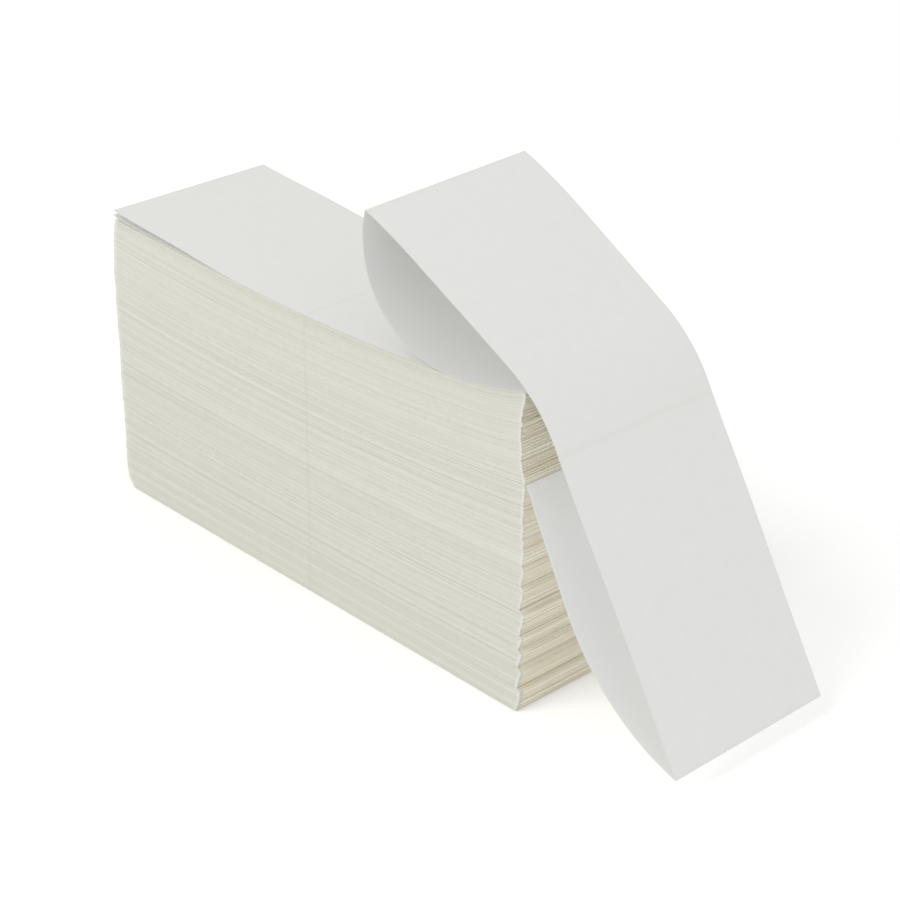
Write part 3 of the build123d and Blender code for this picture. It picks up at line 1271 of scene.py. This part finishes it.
# ---------------------------------------------------------------- the loop
@dataclass(frozen=True)
class Path:
    """A path in the x-z plane, of straight runs and arcs."""

    start: Point
    heading: float
    pieces: tuple[Run, ...]

    def at(self, distance: np.ndarray, offset: np.ndarray) -> tuple[np.ndarray, np.ndarray]:
        """Return points at distances along the path, moved to its left by an offset.

        Within a piece the chord is the run times sin(turn / 2) / (turn / 2), and it points
        along the heading plus half the turn so far.

        Args:
            distance: distances from the start.
            offset: distances to the left.

        Returns:
            The x and the z of the points.
        """
        x, z, heading, done = [self.start[0]], [self.start[1]], [self.heading], [0.0]
        for length, turn in self.pieces:
            chord = length * np.sinc(turn / 2 / np.pi)
            x.append(x[-1] + chord * math.cos(heading[-1] + turn / 2))
            z.append(z[-1] + chord * math.sin(heading[-1] + turn / 2))
            heading.append(heading[-1] + turn)
            done.append(done[-1] + length)
        bends = np.array([turn / length for length, turn in self.pieces])
        piece = np.clip(np.searchsorted(done, distance, "right") - 1, 0, len(bends) - 1)
        run = distance - np.array(done)[piece]
        turn = bends[piece] * run
        chord = run * np.sinc(turn / 2 / np.pi)
        lean = np.array(heading)[piece]
        px = np.array(x)[piece] + chord * np.cos(lean + turn / 2)
        pz = np.array(z)[piece] + chord * np.sin(lean + turn / 2)
        return px - offset * np.sin(lean + turn), pz + offset * np.cos(lean + turn)

    @staticmethod
    def between(start: Point, end: Point, pieces: tuple[Run, ...]) -> "Path":
        """Return the path from one point, headed so that its end lies towards another.

        Args:
            start: where the path starts.
            end: the point that its end lies towards, as seen from the start.
            pieces: its runs and arcs.

        Returns:
            The path.
        """
        trial = Path((0.0, 0.0), 0.0, pieces)
        length = sum(piece[0] for piece in pieces)
        chord_x, chord_z = trial.at(np.array([length]), np.array([0.0]))
        lean = math.atan2(end[1] - start[1], end[0] - start[0])
        return Path(start, lean - math.atan2(chord_z[0], chord_x[0]), pieces)


@dataclass
class LoopPanel:
    """One label's length of the pulled-out web: a liner on one side of a path, a label on it.

    A translucent panel casts no shadow, and one that glows through doesn't stop scattered
    light.  Both stand for the light that thin paper lets by.
    """

    number: int
    body: Body
    path: Path
    facing: Facing
    web: Web
    free_from: float = 0.0
    cup: float = 0.0
    wave: float = 0.0
    twist_start: float = 0.0
    twist_end: float = 0.0
    translucent: bool = True
    glows_through: bool = True

    def surface(self, along: np.ndarray, across: np.ndarray, layer: float) -> np.ndarray:
        """Return points of the panel.

        The path's point moved to its left by the layer and by a small bow: a cup across the
        web and one slanting wave along it, both nothing at the folds and where it rests.  A
        share of the crest's tilt is added, which sinks its near side, and the share fades
        smoothly away from the crest.

        Args:
            along: distance along the path.
            across: distance from the web's middle.
            layer: distance to the path's left.

        Returns:
            (..., 3) points.
        """
        free = np.clip((along - self.free_from) / (self.web.pitch - self.free_from), 0, 1)
        envelope = np.sin(np.pi * free) ** 2
        side = across / (self.web.width / 2)
        bow = self.cup * (side**2 - 0.33) + self.wave * np.sin(4.2 * free + 1.1 * side)
        x, z = self.path.at(along, layer + envelope * bow)
        fade = free * free * (3 - 2 * free)
        share = self.twist_start * (1 - fade) + self.twist_end * fade
        x = x + share * (CREST_SHIFT[0] + CREST_TILT[0] * side)
        z = z + share * (CREST_SHIFT[1] + CREST_TILT[1] * side)
        return np.stack(np.broadcast_arrays(x, across, z), -1)

    def build(self, finishes: Finishes) -> None:
        """Build the liner and the label.

        Args:
            finishes: the object's finishes.
        """
        web = self.web
        side = self.facing.value
        stations = np.linspace(0.0, web.pitch, PANEL_SECTIONS)
        liner = sheet_piece(
            f"panel_{self.number}_liner_sheet",
            self.surface,
            stations,
            np.full(stations.shape, web.width / 2),
            (0.0, -side * web.liner),
            finishes.liner,
            PANEL_COLUMNS,
        )
        dress(liner, self.body, Slot.LINER, f"panel_{self.number}_liner")
        stations, half_widths = label_outline(web, 0.0)
        label = sheet_piece(
            f"panel_{self.number}_label_face",
            self.surface,
            stations,
            half_widths,
            (-side * SUNK, side * web.label),
            finishes.label,
            PANEL_COLUMNS,
        )
        dress(label, self.body, Slot.LABEL, f"panel_{self.number}_label")
        for piece in (liner, label):
            piece.visible_shadow = not self.translucent
            piece.visible_diffuse = not self.glows_through


@dataclass
class FoldNose:
    """The liner's bend that joins a leaf to the next one across a narrow gap."""

    name: str
    bodies: tuple[Body, Body]
    x: float
    low: float
    high: float
    outward: float
    web: Web

    def surface(self, along: np.ndarray, across: np.ndarray, layer: float) -> np.ndarray:
        """Return points on a half ellipse from the low edge round to the high edge.

        Args:
            along: share of the half turn, from 0 to 1.
            across: distance from the web's middle.
            layer: distance inwards from the outer face.

        Returns:
            (..., 3) points.
        """
        angle = np.pi * (along - 0.5)
        height = (self.high - self.low) / 2
        reach = abs(self.outward)
        x = self.x + math.copysign(1.0, self.outward) * (reach - layer) * np.cos(angle)
        z = (self.high + self.low) / 2 + (height - layer) * np.sin(angle)
        return np.stack(np.broadcast_arrays(x, across, z), -1)

    def build(self, finishes: Finishes) -> None:
        """Build the bend, which runs round from one sheet to the other; it is baked in place and
        rides on neither body.

        Args:
            finishes: the object's finishes.
        """
        stations = np.linspace(0, 1, 13)
        half = np.full(stations.shape, self.web.width / 2)
        piece = sheet_piece(
            self.name, self.surface, stations, half, (self.web.liner, 0.0), finishes.liner
        )
        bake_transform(piece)
        report(piece)


# ---------------------------------------------------------------- the room
@dataclass(frozen=True)
class Studio:
    """Pale floor, soft light and the camera, whose angles are in degrees."""

    floor_size: float = 12.0
    floor_height: float = -0.0002
    floor_points: int = 25
    air_strength: float = 0.80
    camera_place: Place = (0.8255, -0.7291, 0.6307)
    azimuth: float = 46.75
    elevation: float = 27.23
    roll: float = 0.22
    lens: float = 94.61

    def build(self) -> None:
        """Build the floor, the lights, the surroundings and the camera."""
        self.floor()
        self.lamp("key_light", (-0.6, -2.3, 2.6), 1.8, 36.0, (1.0, 1.0, 0.965))
        self.lamp("fill_light", (2.6, -0.4, 1.5), 2.0, 9.0, (0.93, 0.95, 1.0))
        world = bpy.data.worlds.new("studio_air")
        world.use_nodes = True
        background = world.node_tree.nodes["Background"]
        background.inputs["Color"].default_value = (1.0, 1.0, 1.0, 1.0)
        background.inputs["Strength"].default_value = self.air_strength
        bpy.context.scene.world = world
        bpy.context.scene.view_settings.view_transform = "Standard"
        self.camera()

    def floor(self) -> None:
        """Build the floor as a grid of points just under the object."""
        side = np.linspace(-self.floor_size, self.floor_size, self.floor_points)
        x, y = np.meshgrid(side, side, indexing="ij")
        points = np.stack([x, y, np.full_like(x, self.floor_height)], -1).reshape(-1, 3)
        quads = grid_quads(self.floor_points, self.floor_points)
        floor = build_piece("floor", points, quads, FloorFinish().material(), {})

    def lamp(
        self,
        name: str,
        place: Place,
        size: float,
        power: float,
        colour: Colour,
    ) -> None:
        """Add a square soft light that looks at the object's middle.

        Args:
            name: the light's name.
            place: where it stands.
            size: its side in metres.
            power: its power in watts.
            colour: its colour.
        """
        light = bpy.data.lights.new(name, "AREA")
        light.color = colour
        light.size = size
        light.energy = power
        lamp = bpy.data.objects.new(name, light)
        lamp.location = place
        lamp.rotation_mode = "QUATERNION"
        lamp.rotation_quaternion = (Vector((0, 0, 0.1)) - Vector(place)).to_track_quat("-Z", "Y")
        bpy.context.scene.collection.objects.link(lamp)

    def camera(self) -> None:
        """Add the camera, which looks along its azimuth and elevation."""
        around, up = math.radians(self.azimuth), math.radians(self.elevation)
        back = Vector(
            (math.sin(around) * math.cos(up), -math.cos(around) * math.cos(up), math.sin(up))
        )
        camera = bpy.data.objects.new("camera", bpy.data.cameras.new("camera"))
        camera.data.lens = self.lens
        camera.location = self.camera_place
        camera.rotation_mode = "QUATERNION"
        level = (-back).to_track_quat("-Z", "Y")
        camera.rotation_quaternion = level @ Quaternion((0, 0, 1), math.radians(self.roll))
        bpy.context.scene.collection.objects.link(camera)
        bpy.context.scene.camera = camera


# ---------------------------------------------------------------- the object
LOWER_PACKS = (
    Pack(32, 0.4, -1.8, 2.4, -0.6),
    Pack(42, 1.0, 0.2, 2.8, 2.4),
    Pack(68, 1.2, -2.4, 2.9, 2.7),
    Pack(56, 1.4, -2.8, 2.4, 2.8),
    Pack(50, 1.0, -3.0, 2.6, 2.2),
    Pack(81, 1.6, -2.2, 2.8, 2.4),
    Pack(78, 1.2, -3.0, 3.2, 2.9),
    Pack(62, 0.8, -2.0, 3.0, 3.3),
    Pack(64, 0.6, -1.6, 2.6, 2.9),
    Pack(21, 0.4, -0.8, 2.8, 2.5),
    Pack(52, -0.2, -1.4, 3.2, 2.9),
    Pack(60, -0.6, -1.4, 3.4, 3.0),
    Pack(62, 0.2, -1.2, 3.2, 3.5),
)
UPPER_PACKS = (
    Pack(34, -1.6, 0.9, 3.3, 3.0),
    Pack(31, -2.6, -1.8, 3.6, 3.3),
    Pack(37, -2.4, -3.0, 3.4, 3.7),
    Pack(27, -3.2, -2.6, 3.8, 3.5),
    Pack(41, -3.0, -3.6, 3.6, 3.9),
    Pack(33, -3.2, -2.6, 3.0, 3.5),
    Pack(31, -1.8, -2.8, 2.4, 2.9),
    Pack(35, -0.4, -1.6, 1.2, 2.2),
)


@dataclass
class LabelStack:
    """The whole object: two bundles, the leaves that show, and the pulled-out loop.

    The hinges are the joints' places, and the turns of the loop's arcs are in degrees.
    """

    web: Web
    rest: Rest
    hinges: dict[str, Point]
    top_lift: float = 0.0016
    rest_length: float = 0.0525
    curl_turn: float = 109.4
    crest_length: float = 0.040
    crest_turn: float = 8.0
    drape_length: float = 0.048
    drape_turn: float = 34.25
    hang_length: float = 0.060
    hang_turn: float = 48.0
    exit_reach: float = 0.0005
    nose_reach: float = 0.0002

    def build(self, finishes: Finishes) -> None:
        """Build every sub-assembly from the floor up.

        Args:
            finishes: the object's finishes.
        """
        web, rest = self.web, self.rest
        exit_level = sum(pack.leaves for pack in LOWER_PACKS) * web.leaf
        lower_step = web.leaf * (1 - ROOM / exit_level)
        lower = PressedStack(
            "lower_pack", Body.LOWER, LOWER_PACKS, 0.0, web, rest, 11, lower_step, end_curl=0.0004
        )
        lower.build(finishes)
        exit_leaf = LyingLeaf(
            "exit_leaf", Body.LOWER, exit_level, web, rest, right_reach=self.exit_reach - 0.00005
        )
        exit_leaf.build(finishes)
        leaves = sum(pack.leaves for pack in UPPER_PACKS)
        upper_level = exit_level + web.leaf
        panel_level = upper_level + (leaves + 2) * web.leaf + 3 * web.air + web.liner
        top_level = panel_level - web.liner - SKIN - web.leaf
        second_level = top_level - web.leaf - SKIN
        step = (second_level - upper_level - SKIN - ROOM) / leaves
        upper = PressedStack(
            "upper_pack",
            Body.UPPER,
            UPPER_PACKS,
            upper_level + SKIN,
            web,
            rest,
            23,
            step,
            tip_spring=-0.0030,
            end_sink=0.00009,
        )
        upper.build(finishes)
        second = LyingLeaf(
            "second_leaf",
            Body.UPPER,
            second_level,
            web,
            rest,
            lift=-0.0024,
            lift_length=0.100,
            tip=0.0014,
            left_reach=0.0026,
            translucent=True,
        )
        second.build(finishes)
        top = LyingLeaf(
            "top_leaf",
            Body.TOP,
            top_level,
            web,
            rest,
            labels_up=False,
            lift=self.top_lift,
            tip=-0.0002,
            arch=0.0011,
            left_reach=0.0023,
            translucent=True,
        )
        top.build(finishes)
        self.build_loop(finishes, exit_level, panel_level)

    def build_loop(self, finishes: Finishes, exit_level: float, panel_level: float) -> None:
        """Build the four panels of the loop and the bend that joins it to the top leaf.

        Args:
            finishes: the object's finishes.
            exit_level: flat thickness under the leaf that the loop leaves the stack from.
            panel_level: flat thickness under panel 4, where it rests on the top leaf.
        """
        web, rest = self.web, self.rest
        long_arc, end_arc = rest.circles(panel_level)
        knee_z = float(rest.height(panel_level, rest.knee_x))
        fold_4 = (rest.half_length, float(rest.height(panel_level, rest.half_length)))
        start = math.atan2(fold_4[1] - end_arc[1], fold_4[0] - end_arc[0])
        stop = math.atan2(knee_z - end_arc[1], rest.knee_x - end_arc[0])
        end_run = float(end_arc[2]) * abs(stop - start)
        long_run = self.rest_length - end_run
        resting = (
            (end_run, stop - start),
            (long_run, -long_run / float(long_arc[2])),
            (web.pitch - self.rest_length, -math.radians(self.curl_turn)),
        )
        draping = (
            (self.crest_length, -math.radians(self.crest_turn)),
            (web.pitch - self.crest_length - self.drape_length, 0.0),
            (self.drape_length, -math.radians(self.drape_turn)),
        )
        hanging = (
            (self.hang_length, 0.0),
            (web.pitch - self.hang_length, math.radians(self.hang_turn)),
        )
        fold_3, fold_2, fold_1 = (self.hinges[f"fold_{number}"] for number in (3, 2, 1))
        exit_z = float(rest.height(exit_level, rest.half_length))
        fold_0 = (rest.half_length + self.exit_reach, exit_z)
        panels = (
            LoopPanel(
                4,
                Body.PANEL_4,
                Path.between(fold_4, fold_3, resting),
                Facing.RIGHT,
                web,
                free_from=self.rest_length,
                cup=0.0004,
                wave=0.0003,
                twist_end=1.0,
                glows_through=False,
            ),
            LoopPanel(
                3,
                Body.PANEL_3,
                Path.between(fold_3, fold_2, draping),
                Facing.RIGHT,
                web,
                cup=0.0002,
                wave=0.0002,
                twist_start=1.0,
                glows_through=False,
            ),
            LoopPanel(
                2,
                Body.PANEL_2,
                Path.between(fold_2, fold_1, ((web.pitch, 0.0),)),
                Facing.RIGHT,
                web,
                translucent=False,
                cup=0.0005,
                wave=0.0004,
            ),
            LoopPanel(
                1,
                Body.PANEL_1,
                Path.between(fold_0, fold_1, hanging),
                Facing.LEFT,
                web,
                cup=0.0003,
                wave=0.0003,
            ),
        )
        for panel in panels:
            panel.build(finishes)
        nose_low = fold_4[1] - 2 * web.liner - SKIN
        FoldNose(
            "fold_4_nose",
            (Body.TOP, Body.PANEL_4),
            rest.half_length,
            nose_low,
            fold_4[1],
            self.nose_reach,
            web,
        ).build(finishes)


def main() -> None:
    """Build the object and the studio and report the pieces."""
    logging.basicConfig(level=logging.INFO, format="%(message)s")
    low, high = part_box("exit_leaf_liner")
    web = Web(width=high.y - low.y)
    rest = Rest(half_length=(high.x - low.x) / 2)
    hinges = {joint["name"]: (joint["pos_m"][0], joint["pos_m"][2]) for joint in frame["joints"]}
    finishes = Finishes(
        PressedLeavesFinish().material(),
        ReleaseLinerFinish(web).material(),
        LabelPaperFinish(web).material(),
    )
    LabelStack(web, rest, hinges).build(finishes)
    Studio().build()


if __name__ == "__main__":
    main()
